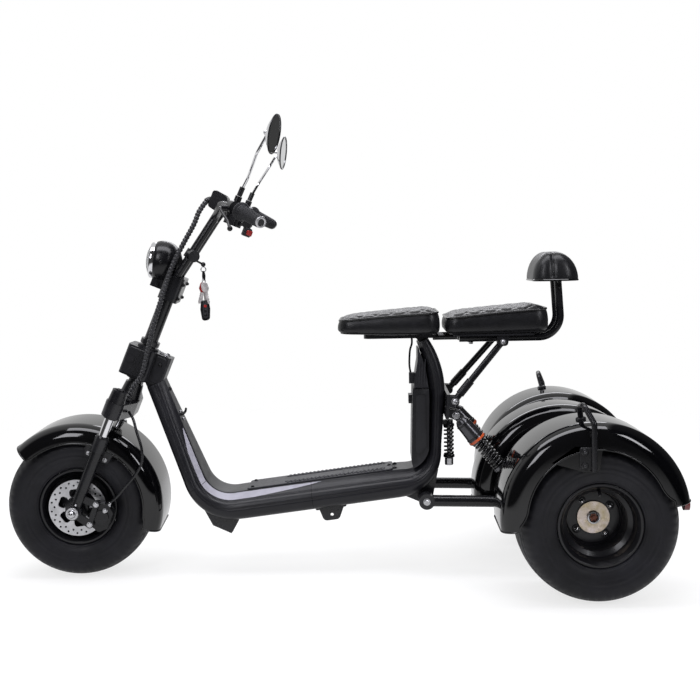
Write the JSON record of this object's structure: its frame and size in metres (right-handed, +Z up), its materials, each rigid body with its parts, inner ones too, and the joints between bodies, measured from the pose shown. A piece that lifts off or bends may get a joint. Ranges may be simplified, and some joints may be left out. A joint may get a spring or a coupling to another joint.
{
  "type": "three-wheeled electric scooter",
  "caption": "Low step-through electric trike with wide balloon tyres, raked telescopic fork, tall swept handlebar, front and rear seat with backrest, and fenders on a wide rear axle.",
  "frame": {"origin": "centre of the footprint box, on the floor", "axes": "+Z up, +X to the rear, -Y the rider's left side; the front end stands turned slightly to the left"},
  "size_m": [1.9535, 0.876, 1.3382],
  "materials": {
    "frame_paint": "satin black",
    "shell_plastic": "satin charcoal",
    "deck_plastic": "ribbed dark grey",
    "case_plastic": "matte black",
    "seat_leather": "quilted black",
    "fender_gloss": "high gloss black",
    "spring_black": "black",
    "collar_orange": "orange ring",
    "lamp_red": "dark red",
    "chrome": "polished",
    "steel": "bright",
    "zinc_gold": "yellow zinc",
    "lens_clear": "clear",
    "black_plastic": "black",
    "rubber": "grip rubber",
    "mirror": "silvered",
    "cable": "wrapped black",
    "tyre": "matte black",
    "rim_paint": "satin black"
  },
  "bodies": {
    "frame": {"neck_housing": "frame_paint", "body_shell": "shell_plastic", "foot_deck": "deck_plastic", "battery_case": "case_plastic", "column_cover": "case_plastic", "seat_rail": "frame_paint", "seat_front": "seat_leather", "seat_rear": "seat_leather", "backrest_frame": "frame_paint", "backrest_pad": "seat_leather", "seat_struts": "frame_paint", "strut_beam": "frame_paint", "shock_left": "spring_black", "shock_right": "spring_black", "shock_collars": "collar_orange", "rear_springs": "spring_black", "column_spring": "spring_black", "swingarm": "frame_paint", "axle_housing": "frame_paint", "rear_fender_left": "fender_gloss", "rear_fender_mid": "fender_gloss", "rear_fender_right": "fender_gloss", "grab_handles": "frame_paint", "rear_lamps": "lamp_red", "stand_bracket": "frame_paint", "floor_guard": "frame_paint", "battery_lead": "cable"},
    "fork": {"steering_stem": "frame_paint", "fork_stanchions": "chrome", "fork_legs": "frame_paint", "front_axle": "steel", "front_fender": "fender_gloss", "brake_caliper": "frame_paint", "headlight_shell": "black_plastic", "headlight_lens": "lens_clear", "handlebar": "frame_paint", "display": "black_plastic", "grips": "rubber", "brake_levers": "black_plastic", "mirrors": "chrome", "mirror_glass": "mirror", "ignition_lock": "black_plastic", "key_fob": "black_plastic", "cable_bundle": "cable", "brake_hose": "cable"},
    "front_wheel": {"front_tyre": "tyre", "front_rim": "rim_paint", "front_disc": "steel"},
    "rear_wheel_left": {"rear_tyre_left": "tyre", "rear_rim_left": "rim_paint", "rear_hub_left": "zinc_gold"},
    "rear_wheel_right": {"rear_tyre_right": "tyre", "rear_rim_right": "rim_paint", "rear_hub_right": "zinc_gold"}
  },
  "joints": [
    {"name": "steering", "type": "hinge", "parent": "frame", "child": "fork", "pos_m": [-0.56588, 0, 0.63596], "axis": [0.3907, 0, 0.9205], "range_deg": [-35.5, 28.5]},
    {"name": "front_wheel_spin", "type": "hinge", "parent": "fork", "child": "front_wheel", "pos_m": [-0.75848, -0.00085, 0.21799], "axis": [-0.0562, 0.9981, 0.0239], "continuous": true},
    {"name": "rear_left_spin", "type": "hinge", "parent": "frame", "child": "rear_wheel_left", "pos_m": [0.7295, -0.301, 0.218], "axis": [0, 1, 0], "continuous": true},
    {"name": "rear_right_spin", "type": "hinge", "parent": "frame", "child": "rear_wheel_right", "pos_m": [0.7295, 0.301, 0.218], "axis": [0, 1, 0], "continuous": true}
  ]
}
